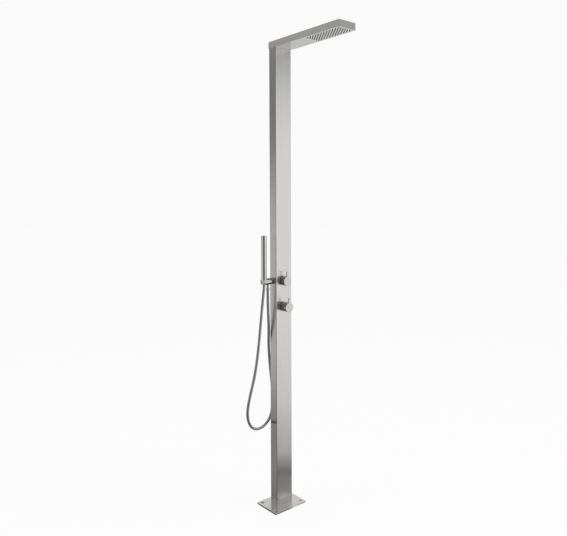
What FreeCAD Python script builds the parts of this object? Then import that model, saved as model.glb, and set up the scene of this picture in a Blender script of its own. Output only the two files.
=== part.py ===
import FreeCAD, Part
import math
import os

# Outdoor shower post. Millimetres, +Z up. The origin is the middle of the four anchor holes on the
# underside of the floor plate. The front, where the head reaches out, faces -Y. The hand shower
# hangs on the -X side.

V = FreeCAD.Vector

# Post and floor plate
POST_WIDTH = 100.0
POST_DEPTH = 50.0
POST_WALL = 2.0
POST_CORNER = 2.5
POST_INNER_CORNER = 0.5
PLATE_WIDTH = 200.0
PLATE_DEPTH = 150.0
PLATE_THICKNESS = 8.0
PLATE_CORNER = 3.0
PLATE_EDGE = 0.6
ANCHOR_SPACING_X = 160.0
ANCHOR_SPACING_Y = 110.0
ANCHOR_HOLE_RADIUS = 6.5
COUNTERSINK_RADIUS = 9.0
SUPPLY_OPENING_WIDTH = 76.0
SUPPLY_OPENING_DEPTH = 40.0
SUPPLY_OPENING_CORNER = 6.0

# Head
HEAD_UNDERSIDE_Z = 2306.0
HEAD_HEIGHT = 32.0
HEAD_REACH = 435.0
HEAD_SHEET = 1.5
HEAD_BEND = 1.0
HEAD_CLEARANCE = 0.5
NOZZLE_ROWS = 12
NOZZLE_SIDE_MARGIN = 10.5
NOZZLE_PITCH_X = 14.0
NOZZLE_PITCH_Y = 18.0
NOZZLE_FRONT_MARGIN = 20.0
NOZZLE_RADIUS = 2.3
NOZZLE_TIP_RADIUS = 1.8
NOZZLE_BORE_RADIUS = 0.7
NOZZLE_HOLE_CLEARANCE = 0.15
NOZZLE_DROP = 3.0
NOZZLE_MAT_THICKNESS = 2.0
NOZZLE_MAT_MARGIN = 6.0
CHAMBER_HEIGHT = 15.5
CHAMBER_WALL = 1.5
CHAMBER_COLLAR_LENGTH = 12.0
CHAMBER_COLLAR_WALL = 2.0
UNDERSIDE_REAR_GAP = 0.3

# Pipes and their nuts
PIPE_RADIUS = 7.5
PIPE_WALL = 1.0
PIPE_FIT = 0.1
PIPE_Y = 5.0
PIPE_SOCKET_DEPTH = 12.0
PIPE_NUT_ACROSS_FLATS = 24.0
PIPE_NUT_HEIGHT = 12.0
SUPPLY_X = 22.0
WATERWAY_RADIUS = 5.0
CLIP_WALL = 2.0
CLIP_HEIGHT = 12.0
RISER_CLIP_HEIGHTS = (1500.0, 2000.0)
SUPPLY_CLIP_HEIGHT = 520.0
ELBOW_WALL = 2.0
ELBOW_DROP = 25.0
ELBOW_WALL_GAP = 3.0
POST_NOTCH_CLEARANCE = 0.5

# Supply connectors above the floor opening
INLET_MOUTH_Z = 14.0
INLET_HEX_ACROSS_FLATS = 26.0
INLET_HEX_HEIGHT = 20.0
INLET_NECK_RADIUS = 10.5
INLET_NECK_LENGTH = 20.0
INLET_THREAD_RADIUS = 9.3
INLET_THREAD_LENGTH = 15.0
INLET_NUT_HEIGHT = 6.0
CHECK_VALVE_RADIUS = 7.4
CHECK_VALVE_LENGTH = 12.0
CHECK_VALVE_BORE_RADIUS = 4.0
BRACKET_THICKNESS = 3.0
BRACKET_CORNER = 1.0

# Valves behind the front face
MIXER_Z = 1024.5
DIVERTER_Z = 1154.5
MIXER_BODY_WIDTH = 72.0
DIVERTER_BODY_WIDTH = 48.0
MIXER_BODY_HEIGHT = 52.0
DIVERTER_BODY_HEIGHT = 48.0
BODY_REAR_GAP = 3.0
BODY_EDGE = 1.5
NECK_RADIUS = 16.0
NECK_LENGTH = 12.0
NECK_CLEARANCE = 0.3
SEAL_RADIUS = 18.4
SEAL_THICKNESS = 1.5
LOCK_NUT_RADIUS = 18.4
LOCK_NUT_THICKNESS = 5.0
LOCK_NUT_SLOT = 4.0
LOCK_NUT_SLOT_DEPTH = 1.0
CARTRIDGE_RADIUS = 12.5
CARTRIDGE_LENGTH = 29.0
CARTRIDGE_WALL = 2.0
CARTRIDGE_END = 3.0
CARTRIDGE_FIT = 0.1
CAP_NUT_SKIRT = 4.5
CAP_NUT_END = 3.0
CAP_NUT_HOLE_RADIUS = 9.0
DISC_THICKNESS = 3.0
DISC_CLEARANCE = 0.3
DISC_PORT_RADIUS = 2.5
DISC_PORT_OFFSET = 5.5
MIXER_PORTS = ((-1, 0), (1, 0), (0, 1))
DIVERTER_PORTS = ((0, -1), (-1, 0), (0, 1))
CROSS_BORE_RADIUS = 3.0
BORE_OVERRUN = 1.0
STEM_CARRIER_LENGTH = 6.0
STEM_RADIUS = 6.0
STEM_CLEARANCE = 0.1
STEM_SQUARE = 8.0
STEM_SHOULDER = 1.5

# Knobs and their pins
KNOB_RADIUS = 24.5
KNOB_CAVITY_RADIUS = 22.5
KNOB_FACE_GAP = 2.0
KNOB_CAVITY_DEPTH = 15.0
KNOB_EDGE = 0.8
KNOB_CAP = 4.0
MIXER_KNOB_REACH = 43.0
DIVERTER_KNOB_REACH = 30.0
PIN_RADIUS = 3.0
PIN_EDGE = 0.8
PIN_TIP_RADIAL = 47.0
PIN_ROOT_RADIAL = 11.0
PIN_THREAD_RADIUS = 2.2
PIN_FROM_CAP = 7.0
GRUB_RADIUS = 2.0
GRUB_LENGTH = 8.0
GRUB_KEY_RADIUS = 1.0
SMALL_FIT = 0.1
THREAD_FIT = 0.05

# Service cover on the back
COVER_WIDTH = 88.0
COVER_MARGIN = 14.0
COVER_SHEET = 1.5
COVER_CORNER = 4.0
COVER_OPENING_WIDTH = 76.0
COVER_OPENING_MARGIN = 9.0
COVER_SCREW_X = 30.0
COVER_SCREW_INSET = 6.0
COVER_SCREW_RADIUS = 2.0
COVER_SCREW_HEAD_RADIUS = 3.6
COVER_SCREW_HEAD_HEIGHT = 2.0
COVER_SCREW_LENGTH = 6.0

# Head screws at the back
HEAD_SCREW_X = 30.0
HEAD_SCREW_DROP = 16.0
HEAD_SCREW_RADIUS = 2.5
HEAD_SCREW_HEAD_RADIUS = 4.8
HEAD_SCREW_HEAD_HEIGHT = 2.6
HEAD_SCREW_LENGTH = 12.0
HEAD_SCREW_CLEARANCE = 0.25
RIVET_NUT_RADIUS = 3.6
RIVET_NUT_FLANGE_RADIUS = 5.2
RIVET_NUT_LENGTH = 11.0
SCREW_SOCKET_ACROSS_FLATS = 2.5
SCREW_SOCKET_DEPTH = 1.4

# Water outlet and hand shower holder on the left side
ARM_Y = 10.0
ARM_RADIUS = 16.5
OUTLET_REACH = 26.5
HANDSET_REACH = 50.3
NIPPLE_RADIUS = 8.3
NIPPLE_BORE_RADIUS = 5.0
NIPPLE_INSERTION = 12.0
ARM_NUT_ACROSS_FLATS = 22.0
ARM_NUT_THICKNESS = 6.0
STUB_RADIUS = 6.5
STUB_BORE_RADIUS = 4.0
STUB_DROP = 40.0
HOLDER_BEYOND = 10.6
HOLDER_BEFORE = 16.2
HOLDER_RISE = 10.0
HOLDER_SLOT = 15.0
HOLDER_EDGE = 0.8
HOLDER_SPIGOT_RADIUS = 8.0
HOLDER_SPIGOT_LENGTH = 3.0
SPOT_FACE_MARGIN = 0.8
SEAT_CLEARANCE = 0.3

# Hose and its ends
HOSE_RADIUS = 7.0
OUTLET_NUT_RADIUS = 8.9
OUTLET_NUT_HEIGHT = 12.0
OUTLET_NUT_END = 3.5
OUTLET_NUT_EDGE = 0.8
OUTLET_FERRULE_RADIUS = 5.5
FERRULE_BORE_RADIUS = 4.0
FERRULE_FLANGE = 1.0
FERRULE_PROUD = 0.3
WASHER_THICKNESS = 1.5
CONE_NUT_TOP_RADIUS = 11.8
CONE_NUT_BOTTOM_RADIUS = 8.9
CONE_NUT_LENGTH = 27.3
CONE_NUT_LIP = 9.7
CONE_NUT_PROUD = 0.3
SWIVEL_FLANGE = 2.0
SWIVEL_RADIUS = 6.4
SWIVEL_CLEARANCE = 0.3

# Hand shower
HANDSET_RADIUS = 14.6
HANDSET_LENGTH = 218.5
HANDSET_WALL = 2.0
HANDSET_EDGE = 1.0
HANDSET_GAP = 0.4
HANDSET_FLOOR = 7.0
HANDSET_SPIGOT_RADIUS = 9.2
HANDSET_SPIGOT_LENGTH = 13.0
HANDSET_BORE_RADIUS = 4.0
HANDSET_SOLID_LENGTH = 82.0
SPRAY_FLAT = 11.9
SPRAY_FLAT_LENGTH = 62.0
SPRAY_TOP_MARGIN = 9.0
SPRAY_PLATE_WIDTH = 13.6
SPRAY_PLATE_LENGTH = 56.0
SPRAY_PLATE_THICKNESS = 2.0
SPRAY_POCKET_DEPTH = 8.0
SPRAY_PLATE_PROUD = 0.3
SPRAY_NUB_RADIUS = 0.9
SPRAY_NUB_HEIGHT = 0.8
SPRAY_COLUMNS = 3
SPRAY_ROWS = 11
SPRAY_PITCH = 4.2

# The hose's route between its two ends: down from the outlet, round and up to the hand shower
HOSE_ROUTE = (
    (-76.5, 10.0, 1065.0),
    (-70.5, 15.0, 990.0),
    (-61.5, 22.0, 915.0),
    (-53.2, 35.0, 840.0),
    (-44.0, 41.0, 765.0),
    (-33.5, 44.5, 690.0),
    (-22.0, 46.0, 605.0),
    (-18.0, 45.0, 517.0),
    (-36.0, 41.0, 448.0),
    (-87.0, 34.0, 413.0),
    (-143.5, 27.0, 411.5),
    (-189.0, 21.0, 448.0),
    (-204.0, 18.0, 512.0),
    (-189.0, 17.0, 584.0),
    (-164.0, 16.0, 662.0),
    (-144.5, 15.0, 750.0),
    (-130.5, 14.0, 850.0),
    (-119.8, 13.0, 950.0),
    (-111.7, 12.0, 1025.0),
    (-104.9, 10.6, 1088.0),
    (-100.3, 10.0, 1123.0),
)
ARC_SHARE = 0.45

# How closely two levels, radii or directions agree to count as the same
SAME = 1e-6

# Levels and faces that follow from the sizes above
FRONT_Y = -POST_DEPTH / 2
BACK_Y = POST_DEPTH / 2
INNER_X = POST_WIDTH / 2 - POST_WALL
INNER_FRONT_Y = FRONT_Y + POST_WALL
INNER_BACK_Y = BACK_Y - POST_WALL
HEAD_TOP_Z = HEAD_UNDERSIDE_Z + HEAD_HEIGHT
POST_TOP_Z = HEAD_TOP_Z - HEAD_SHEET
HEAD_INNER_X = POST_WIDTH / 2 + HEAD_CLEARANCE
HEAD_OUTER_X = HEAD_INNER_X + HEAD_SHEET
HEAD_INNER_BACK_Y = BACK_Y + HEAD_CLEARANCE
HEAD_OUTER_BACK_Y = HEAD_INNER_BACK_Y + HEAD_SHEET
HEAD_FRONT_Y = FRONT_Y - HEAD_REACH
MAT_Z = HEAD_UNDERSIDE_Z + HEAD_SHEET
CHAMBER_Z = MAT_Z + NOZZLE_MAT_THICKNESS
FIRST_ROW_Y = HEAD_FRONT_Y + NOZZLE_FRONT_MARGIN
LAST_ROW_Y = FIRST_ROW_Y + (NOZZLE_ROWS - 1) * NOZZLE_PITCH_Y
NOZZLE_COLUMNS = 1 + int(2 * (HEAD_INNER_X - NOZZLE_SIDE_MARGIN) / NOZZLE_PITCH_X)
FIRST_COLUMN_X = -(NOZZLE_COLUMNS - 1) * NOZZLE_PITCH_X / 2
FEED_Z = CHAMBER_Z + CHAMBER_HEIGHT / 2
NECK_FRONT_Y = FRONT_Y - NECK_LENGTH
CARTRIDGE_REAR_Y = NECK_FRONT_Y + CARTRIDGE_LENGTH
BODY_REAR_Y = INNER_BACK_Y - BODY_REAR_GAP
KNOB_REAR_Y = FRONT_Y - KNOB_FACE_GAP
KNOB_SOLID_Y = KNOB_REAR_Y - KNOB_CAVITY_DEPTH
MIXER_BOTTOM_Z = MIXER_Z - MIXER_BODY_HEIGHT / 2
MIXER_TOP_Z = MIXER_Z + MIXER_BODY_HEIGHT / 2
DIVERTER_BOTTOM_Z = DIVERTER_Z - DIVERTER_BODY_HEIGHT / 2
DIVERTER_TOP_Z = DIVERTER_Z + DIVERTER_BODY_HEIGHT / 2
COVER_OPENING_BOTTOM = MIXER_BOTTOM_Z - COVER_OPENING_MARGIN
COVER_OPENING_TOP = DIVERTER_TOP_Z + COVER_OPENING_MARGIN
ELBOW_FRONT_Y = INNER_FRONT_Y + ELBOW_WALL_GAP
ELBOW_BOTTOM_Z = FEED_Z - ELBOW_DROP
INLET_SHOULDER_Z = INLET_MOUTH_Z + INLET_HEX_HEIGHT
INLET_TOP_Z = INLET_SHOULDER_Z + INLET_NECK_LENGTH
PIPE_SOCKET_RADIUS = PIPE_RADIUS + PIPE_FIT
SOCKET_WALL_Z = INLET_TOP_Z - PIPE_SOCKET_DEPTH
OUTLET_X = -POST_WIDTH / 2 - OUTLET_REACH
HANDSET_X = -POST_WIDTH / 2 - HANDSET_REACH
STUB_END_Z = DIVERTER_Z - STUB_DROP
OUTLET_FLANGE_Z = STUB_END_Z - WASHER_THICKNESS - FERRULE_FLANGE
OUTLET_NUT_Z = OUTLET_FLANGE_Z - OUTLET_NUT_END
HOSE_START_Z = OUTLET_NUT_Z - FERRULE_PROUD
HOLDER_END_X = HANDSET_X - HOLDER_BEYOND
HOLDER_SEAM_X = HANDSET_X + HOLDER_BEFORE
HOLDER_TOP_Z = DIVERTER_Z + HOLDER_RISE
CONE_NUT_TOP_Z = HOLDER_TOP_Z + CONE_NUT_PROUD
CONE_NUT_BOTTOM_Z = CONE_NUT_TOP_Z - CONE_NUT_LENGTH
CONE_NUT_SHELF_Z = CONE_NUT_BOTTOM_Z + CONE_NUT_LIP
SWIVEL_TOP_Z = CONE_NUT_SHELF_Z + SWIVEL_CLEARANCE + SWIVEL_FLANGE
HOSE_END_Z = CONE_NUT_BOTTOM_Z - FERRULE_PROUD
HANDSET_BOTTOM_Z = HOLDER_TOP_Z + HANDSET_GAP
HANDSET_TOP_Z = HANDSET_BOTTOM_Z + HANDSET_LENGTH


def box(x0, x1, y0, y1, z0, z1):
    return Part.makeBox(x1 - x0, y1 - y0, z1 - z0, V(x0, y0, z0))


def rod(radius, start, end):
    """A cylinder between two points."""
    along = V(*end) - V(*start)
    return Part.makeCylinder(radius, along.Length, V(*start), along)


def tube(outer, inner, start, end):
    return rod(outer, start, end).cut(rod(inner, start, end))


def upright_edges(shape):
    return [e for e in shape.Edges if is_straight_along(e, V(0, 0, 1))]


def is_straight_along(edge, direction):
    if not isinstance(edge.Curve, Part.Line):
        return False
    return abs(abs(edge.Curve.Direction.dot(direction)) - 1) < SAME


def edges_at_height(shape, z):
    return [e for e in shape.Edges if e.BoundBox.ZMin > z - SAME and e.BoundBox.ZMax < z + SAME]


def rounded_box(x0, x1, y0, y1, z0, z1, radius):
    """A box with its four upright edges rounded."""
    plain = box(x0, x1, y0, y1, z0, z1)
    return plain.makeFillet(radius, upright_edges(plain))


def hex_bar(across_flats, start, end):
    """A hexagonal bar between two points, with two flats square to Y or, on a Y bar, to Z."""
    axis = V(*end) - V(*start)
    length = axis.Length
    axis.normalize()
    side = V(0, 1, 0) if abs(axis.y) < 0.5 else V(0, 0, 1)
    corner_radius = across_flats / math.sqrt(3)
    first = side.cross(axis) * corner_radius
    corners = []
    for i in range(7):
        turn = FreeCAD.Rotation(axis, 60 * i)
        corners.append(V(*start) + turn.multVec(first))
    return Part.Face(Part.makePolygon(corners)).extrude(axis * length)


def slot_block(width, length, x, y0, y1, z):
    """A block along Y with round ends above and below, centred at x and z."""
    radius = width / 2
    reach = length / 2 - radius
    block = box(x - radius, x + radius, y0, y1, z - reach, z + reach)
    for end in (-reach, reach):
        block = block.fuse(rod(radius, (x, y0, z + end), (x, y1, z + end)))
    return block.removeSplitter()


def rim(shape, size, level, axis, radius):
    """The shape with its round edges of one radius, at that level along the axis, cut back."""
    found = []
    for e in shape.Edges:
        if not isinstance(e.Curve, Part.Circle):
            continue
        if abs(e.Curve.Center.dot(axis) - level) < SAME and abs(e.Curve.Radius - radius) < SAME:
            found.append(e)
    return shape.makeChamfer(size, found)


# Structure


def anchor_places():
    for x in (-ANCHOR_SPACING_X / 2, ANCHOR_SPACING_X / 2):
        for y in (-ANCHOR_SPACING_Y / 2, ANCHOR_SPACING_Y / 2):
            yield x, y


def base_plate():
    x = PLATE_WIDTH / 2
    y = PLATE_DEPTH / 2
    plate = rounded_box(-x, x, -y, y, 0, PLATE_THICKNESS, PLATE_CORNER)
    plate = plate.makeChamfer(PLATE_EDGE, edges_at_height(plate, PLATE_THICKNESS))
    for hole_x, hole_y in anchor_places():
        plate = plate.cut(rod(ANCHOR_HOLE_RADIUS, (hole_x, hole_y, 0), (hole_x, hole_y, PLATE_THICKNESS)))
        depth = COUNTERSINK_RADIUS - ANCHOR_HOLE_RADIUS
        sink = V(hole_x, hole_y, PLATE_THICKNESS - depth)
        plate = plate.cut(Part.makeCone(ANCHOR_HOLE_RADIUS, COUNTERSINK_RADIUS, depth, sink))
    x = SUPPLY_OPENING_WIDTH / 2
    y = SUPPLY_OPENING_DEPTH / 2
    return plate.cut(rounded_box(-x, x, -y, y, 0, PLATE_THICKNESS, SUPPLY_OPENING_CORNER))


def head_screw_places():
    for x in (-HEAD_SCREW_X, HEAD_SCREW_X):
        yield x, HEAD_TOP_Z - HEAD_SCREW_DROP


def cover_screw_places():
    for x in (-COVER_SCREW_X, COVER_SCREW_X):
        for z in (COVER_OPENING_BOTTOM - COVER_SCREW_INSET, COVER_OPENING_TOP + COVER_SCREW_INSET):
            yield x, z


def post_tube():
    x = POST_WIDTH / 2
    outside = rounded_box(-x, x, FRONT_Y, BACK_Y, PLATE_THICKNESS, POST_TOP_Z, POST_CORNER)
    inside = rounded_box(
        -INNER_X, INNER_X, INNER_FRONT_Y, INNER_BACK_Y, PLATE_THICKNESS, POST_TOP_Z, POST_INNER_CORNER
    )
    post = outside.cut(inside)
    for z in (MIXER_Z, DIVERTER_Z):
        post = post.cut(rod(NECK_RADIUS + NECK_CLEARANCE, (0, FRONT_Y, z), (0, INNER_FRONT_Y, z)))
    side = (-POST_WIDTH / 2, ARM_Y, DIVERTER_Z)
    post = post.cut(rod(NIPPLE_RADIUS + SMALL_FIT, side, (-INNER_X, ARM_Y, DIVERTER_Z)))
    half = COVER_OPENING_WIDTH / 2
    post = post.cut(box(-half, half, INNER_BACK_Y, BACK_Y, COVER_OPENING_BOTTOM, COVER_OPENING_TOP))
    for screw_x, z in cover_screw_places():
        hole_radius = COVER_SCREW_RADIUS + THREAD_FIT
        post = post.cut(rod(hole_radius, (screw_x, INNER_BACK_Y, z), (screw_x, BACK_Y, z)))
    for screw_x, z in head_screw_places():
        post = post.cut(rod(RIVET_NUT_RADIUS, (screw_x, INNER_BACK_Y, z), (screw_x, BACK_Y, z)))
    half = PIPE_RADIUS + POST_NOTCH_CLEARANCE
    return post.cut(box(-half, half, FRONT_Y, INNER_FRONT_Y, FEED_Z - half, POST_TOP_Z))


def service_cover():
    half = COVER_WIDTH / 2
    low = COVER_OPENING_BOTTOM - COVER_MARGIN
    high = COVER_OPENING_TOP + COVER_MARGIN
    plain = box(-half, half, BACK_Y, BACK_Y + COVER_SHEET, low, high)
    across = [e for e in plain.Edges if is_straight_along(e, V(0, 1, 0))]
    cover = plain.makeFillet(COVER_CORNER, across)
    for x, z in cover_screw_places():
        hole = rod(COVER_SCREW_RADIUS + SMALL_FIT, (x, BACK_Y, z), (x, BACK_Y + COVER_SHEET, z))
        cover = cover.cut(hole)
    return cover


def button_screw(x, z, seat_y, radius, length, head_radius, head_height):
    """A screw along Y whose head stands on the face at seat_y and whose shank reaches inwards."""
    head = rod(head_radius, (x, seat_y, z), (x, seat_y + head_height, z))
    head = rim(head, head_height / 3, seat_y + head_height, V(0, 1, 0), head_radius)
    top = seat_y + head_height
    socket = hex_bar(SCREW_SOCKET_ACROSS_FLATS, (x, top - SCREW_SOCKET_DEPTH, z), (x, top, z))
    return head.fuse(rod(radius, (x, seat_y - length, z), (x, seat_y, z))).cut(socket)


def service_cover_screws():
    seat = BACK_Y + COVER_SHEET
    return [
        button_screw(
            x, z, seat, COVER_SCREW_RADIUS, COVER_SCREW_LENGTH, COVER_SCREW_HEAD_RADIUS,
            COVER_SCREW_HEAD_HEIGHT,
        )
        for x, z in cover_screw_places()
    ]


def head_screws():
    return [
        button_screw(
            x, z, HEAD_OUTER_BACK_Y, HEAD_SCREW_RADIUS, HEAD_SCREW_LENGTH, HEAD_SCREW_HEAD_RADIUS,
            HEAD_SCREW_HEAD_HEIGHT,
        )
        for x, z in head_screw_places()
    ]


def head_rivet_nuts():
    """Threaded inserts whose flanges fill the gap between the post and the head's sleeve."""
    nuts = []
    for x, z in head_screw_places():
        body = rod(RIVET_NUT_RADIUS, (x, BACK_Y - RIVET_NUT_LENGTH, z), (x, BACK_Y, z))
        flange = rod(RIVET_NUT_FLANGE_RADIUS, (x, BACK_Y, z), (x, HEAD_INNER_BACK_Y, z))
        bore = rod(HEAD_SCREW_RADIUS, (x, BACK_Y - RIVET_NUT_LENGTH, z), (x, HEAD_INNER_BACK_Y, z))
        nuts.append(body.fuse(flange).cut(bore))
    return nuts


def head_shell():
    """The folded sheet box, open below, whose back end is a sleeve over the post."""
    outside = box(
        -HEAD_OUTER_X, HEAD_OUTER_X, HEAD_FRONT_Y, HEAD_OUTER_BACK_Y, HEAD_UNDERSIDE_Z, HEAD_TOP_Z
    )
    inside = box(
        -HEAD_INNER_X, HEAD_INNER_X, HEAD_FRONT_Y + HEAD_SHEET, HEAD_INNER_BACK_Y, HEAD_UNDERSIDE_Z,
        POST_TOP_Z,
    )
    open_edges = edges_at_height(outside, HEAD_UNDERSIDE_Z)
    bends = [e for e in outside.Edges if not any(e.isSame(other) for other in open_edges)]
    shell = outside.makeFillet(HEAD_BEND, bends).cut(inside)
    hole_radius = HEAD_SCREW_RADIUS + HEAD_SCREW_CLEARANCE
    for x, z in head_screw_places():
        shell = shell.cut(rod(hole_radius, (x, HEAD_INNER_BACK_Y, z), (x, HEAD_OUTER_BACK_Y, z)))
    return shell


def nozzle_places():
    for column in range(NOZZLE_COLUMNS):
        for row in range(NOZZLE_ROWS):
            yield FIRST_COLUMN_X + column * NOZZLE_PITCH_X, FIRST_ROW_Y + row * NOZZLE_PITCH_Y


def head_underside_plate():
    plate = box(
        -HEAD_INNER_X, HEAD_INNER_X, HEAD_FRONT_Y + HEAD_SHEET, FRONT_Y - UNDERSIDE_REAR_GAP,
        HEAD_UNDERSIDE_Z, MAT_Z,
    )
    hole_radius = NOZZLE_RADIUS + NOZZLE_HOLE_CLEARANCE
    holes = [rod(hole_radius, (x, y, HEAD_UNDERSIDE_Z), (x, y, MAT_Z)) for x, y in nozzle_places()]
    return plate.cut(Part.makeCompound(holes))


def field_box(margin, z0, z1):
    """A box round the field of nozzles, wider than their centres by the margin."""
    return box(
        FIRST_COLUMN_X - margin, -FIRST_COLUMN_X + margin, FIRST_ROW_Y - margin, LAST_ROW_Y + margin,
        z0, z1,
    )


def nozzle_mat():
    """Silicone mat whose nubs drop through the plate below it."""
    tip_z = HEAD_UNDERSIDE_Z - NOZZLE_DROP
    nubs = []
    bores = []
    for x, y in nozzle_places():
        nubs.append(rod(NOZZLE_RADIUS, (x, y, HEAD_UNDERSIDE_Z), (x, y, MAT_Z)))
        nubs.append(Part.makeCone(NOZZLE_TIP_RADIUS, NOZZLE_RADIUS, NOZZLE_DROP, V(x, y, tip_z)))
        bores.append(rod(NOZZLE_BORE_RADIUS, (x, y, tip_z), (x, y, CHAMBER_Z)))
    sheet = field_box(NOZZLE_MAT_MARGIN, MAT_Z, CHAMBER_Z)
    return sheet.fuse(nubs).cut(Part.makeCompound(bores))


def spray_chamber():
    """Water box on the mat, open below, with a collar for the feed pipe at its back."""
    top = CHAMBER_Z + CHAMBER_HEIGHT
    outside = field_box(NOZZLE_MAT_MARGIN, CHAMBER_Z, top)
    inside = field_box(NOZZLE_MAT_MARGIN - CHAMBER_WALL, CHAMBER_Z, top - CHAMBER_WALL)
    rear = LAST_ROW_Y + NOZZLE_MAT_MARGIN
    low = (0, rear - CHAMBER_WALL, FEED_Z)
    high = (0, rear + CHAMBER_COLLAR_LENGTH, FEED_Z)
    collar = rod(PIPE_SOCKET_RADIUS + CHAMBER_COLLAR_WALL, (0, rear, FEED_Z), high)
    socket = rod(PIPE_SOCKET_RADIUS, (0, rear, FEED_Z), high)
    mouth = rod(PIPE_RADIUS - PIPE_WALL, low, (0, rear, FEED_Z))
    return outside.cut(inside).fuse(collar).cut(socket).cut(mouth)


# Pipes


def pipe(start, end):
    return tube(PIPE_RADIUS, PIPE_RADIUS - PIPE_WALL, start, end)


def riser_pipe():
    low = DIVERTER_TOP_Z - PIPE_SOCKET_DEPTH
    return pipe((0, PIPE_Y, low), (0, PIPE_Y, ELBOW_BOTTOM_Z + PIPE_SOCKET_DEPTH))


def link_pipe():
    low = MIXER_TOP_Z - PIPE_SOCKET_DEPTH
    return pipe((0, PIPE_Y, low), (0, PIPE_Y, DIVERTER_BOTTOM_Z + PIPE_SOCKET_DEPTH))


def supply_pipe(x):
    high = MIXER_BOTTOM_Z + PIPE_SOCKET_DEPTH
    return pipe((x, PIPE_Y, SOCKET_WALL_Z), (x, PIPE_Y, high))


def head_feed_pipe():
    inner = (0, ELBOW_FRONT_Y + PIPE_SOCKET_DEPTH, FEED_Z)
    return pipe(inner, (0, LAST_ROW_Y + NOZZLE_MAT_MARGIN, FEED_Z))


def head_elbow():
    """A round upright with a cap above the feed pipe's level and a round branch to the front."""
    radius = PIPE_SOCKET_RADIUS + ELBOW_WALL
    middle = (0, PIPE_Y, FEED_Z)
    front = (0, ELBOW_FRONT_Y, FEED_Z)
    bottom = (0, PIPE_Y, ELBOW_BOTTOM_Z)
    body = rod(radius, bottom, (0, PIPE_Y, FEED_Z + radius + BORE_OVERRUN))
    body = body.fuse(rod(radius, front, middle))
    body = body.cut(rod(WATERWAY_RADIUS, bottom, (0, PIPE_Y, FEED_Z + BORE_OVERRUN)))
    body = body.cut(rod(WATERWAY_RADIUS + BORE_OVERRUN, front, middle))
    body = body.cut(rod(PIPE_SOCKET_RADIUS, bottom, (0, PIPE_Y, ELBOW_BOTTOM_Z + PIPE_SOCKET_DEPTH)))
    return body.cut(rod(PIPE_SOCKET_RADIUS, front, (0, ELBOW_FRONT_Y + PIPE_SOCKET_DEPTH, FEED_Z)))


def pipe_nut(x, low_z):
    """A compression nut that stands on a body's face."""
    bottom = (x, PIPE_Y, low_z)
    top = (x, PIPE_Y, low_z + PIPE_NUT_HEIGHT)
    return hex_bar(PIPE_NUT_ACROSS_FLATS, bottom, top).cut(rod(PIPE_SOCKET_RADIUS, bottom, top))


def pipe_nuts():
    nuts = [
        pipe_nut(0, MIXER_TOP_Z),
        pipe_nut(0, DIVERTER_BOTTOM_Z - PIPE_NUT_HEIGHT),
        pipe_nut(0, DIVERTER_TOP_Z),
        pipe_nut(0, ELBOW_BOTTOM_Z - PIPE_NUT_HEIGHT),
    ]
    for x in (-SUPPLY_X, SUPPLY_X):
        nuts.append(pipe_nut(x, INLET_TOP_Z))
        nuts.append(pipe_nut(x, MIXER_BOTTOM_Z - PIPE_NUT_HEIGHT))
    return nuts


def pipe_clip(x, middle_z):
    """A ring round a pipe on a foot that stands on the post's back wall."""
    low = middle_z - CLIP_HEIGHT / 2
    high = middle_z + CLIP_HEIGHT / 2
    radius = PIPE_SOCKET_RADIUS + CLIP_WALL
    ring = rod(radius, (x, PIPE_Y, low), (x, PIPE_Y, high))
    foot = box(x - radius, x + radius, PIPE_Y, INNER_BACK_Y, low, high)
    return ring.fuse(foot).cut(rod(PIPE_SOCKET_RADIUS, (x, PIPE_Y, low), (x, PIPE_Y, high)))


def pipe_clips():
    clips = [pipe_clip(0, z) for z in RISER_CLIP_HEIGHTS]
    for x in (-SUPPLY_X, SUPPLY_X):
        clips.append(pipe_clip(x, SUPPLY_CLIP_HEIGHT))
    return clips


# Supply connectors


def inlet_connector(x):
    """Threaded below for a supply hose, with a seat for the check valve and a socket for the pipe."""
    mouth = (x, PIPE_Y, INLET_MOUTH_Z)
    shoulder = (x, PIPE_Y, INLET_SHOULDER_Z)
    top = (x, PIPE_Y, INLET_TOP_Z)
    socket = (x, PIPE_Y, SOCKET_WALL_Z)
    thread_end = (x, PIPE_Y, INLET_MOUTH_Z + INLET_THREAD_LENGTH)
    body = hex_bar(INLET_HEX_ACROSS_FLATS, mouth, shoulder).fuse(rod(INLET_NECK_RADIUS, shoulder, top))
    body = body.cut(rod(INLET_THREAD_RADIUS, mouth, thread_end))
    body = body.cut(rod(PIPE_RADIUS - PIPE_WALL, thread_end, socket))
    body = body.cut(rod(CHECK_VALVE_RADIUS + SMALL_FIT, check_valve_foot(x), socket))
    return body.cut(rod(PIPE_SOCKET_RADIUS, socket, top))


def check_valve_foot(x):
    return (x, PIPE_Y, SOCKET_WALL_Z - CHECK_VALVE_LENGTH)


def check_valves():
    """Non-return cartridges, each a plain can with its ports at both ends."""
    valves = []
    for x in (-SUPPLY_X, SUPPLY_X):
        top = (x, PIPE_Y, SOCKET_WALL_Z)
        can = rod(CHECK_VALVE_RADIUS, check_valve_foot(x), top)
        valves.append(can.cut(rod(CHECK_VALVE_BORE_RADIUS, check_valve_foot(x), top)))
    return valves


def inlet_bracket():
    high = INLET_SHOULDER_Z + BRACKET_THICKNESS
    plain = box(-INNER_X, INNER_X, INNER_FRONT_Y, INNER_BACK_Y, INLET_SHOULDER_Z, high)
    bracket = plain.makeChamfer(BRACKET_CORNER, upright_edges(plain))
    for x in (-SUPPLY_X, SUPPLY_X):
        hole = rod(INLET_NECK_RADIUS + SMALL_FIT, (x, PIPE_Y, INLET_SHOULDER_Z), (x, PIPE_Y, high))
        bracket = bracket.cut(hole)
    return bracket


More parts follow.
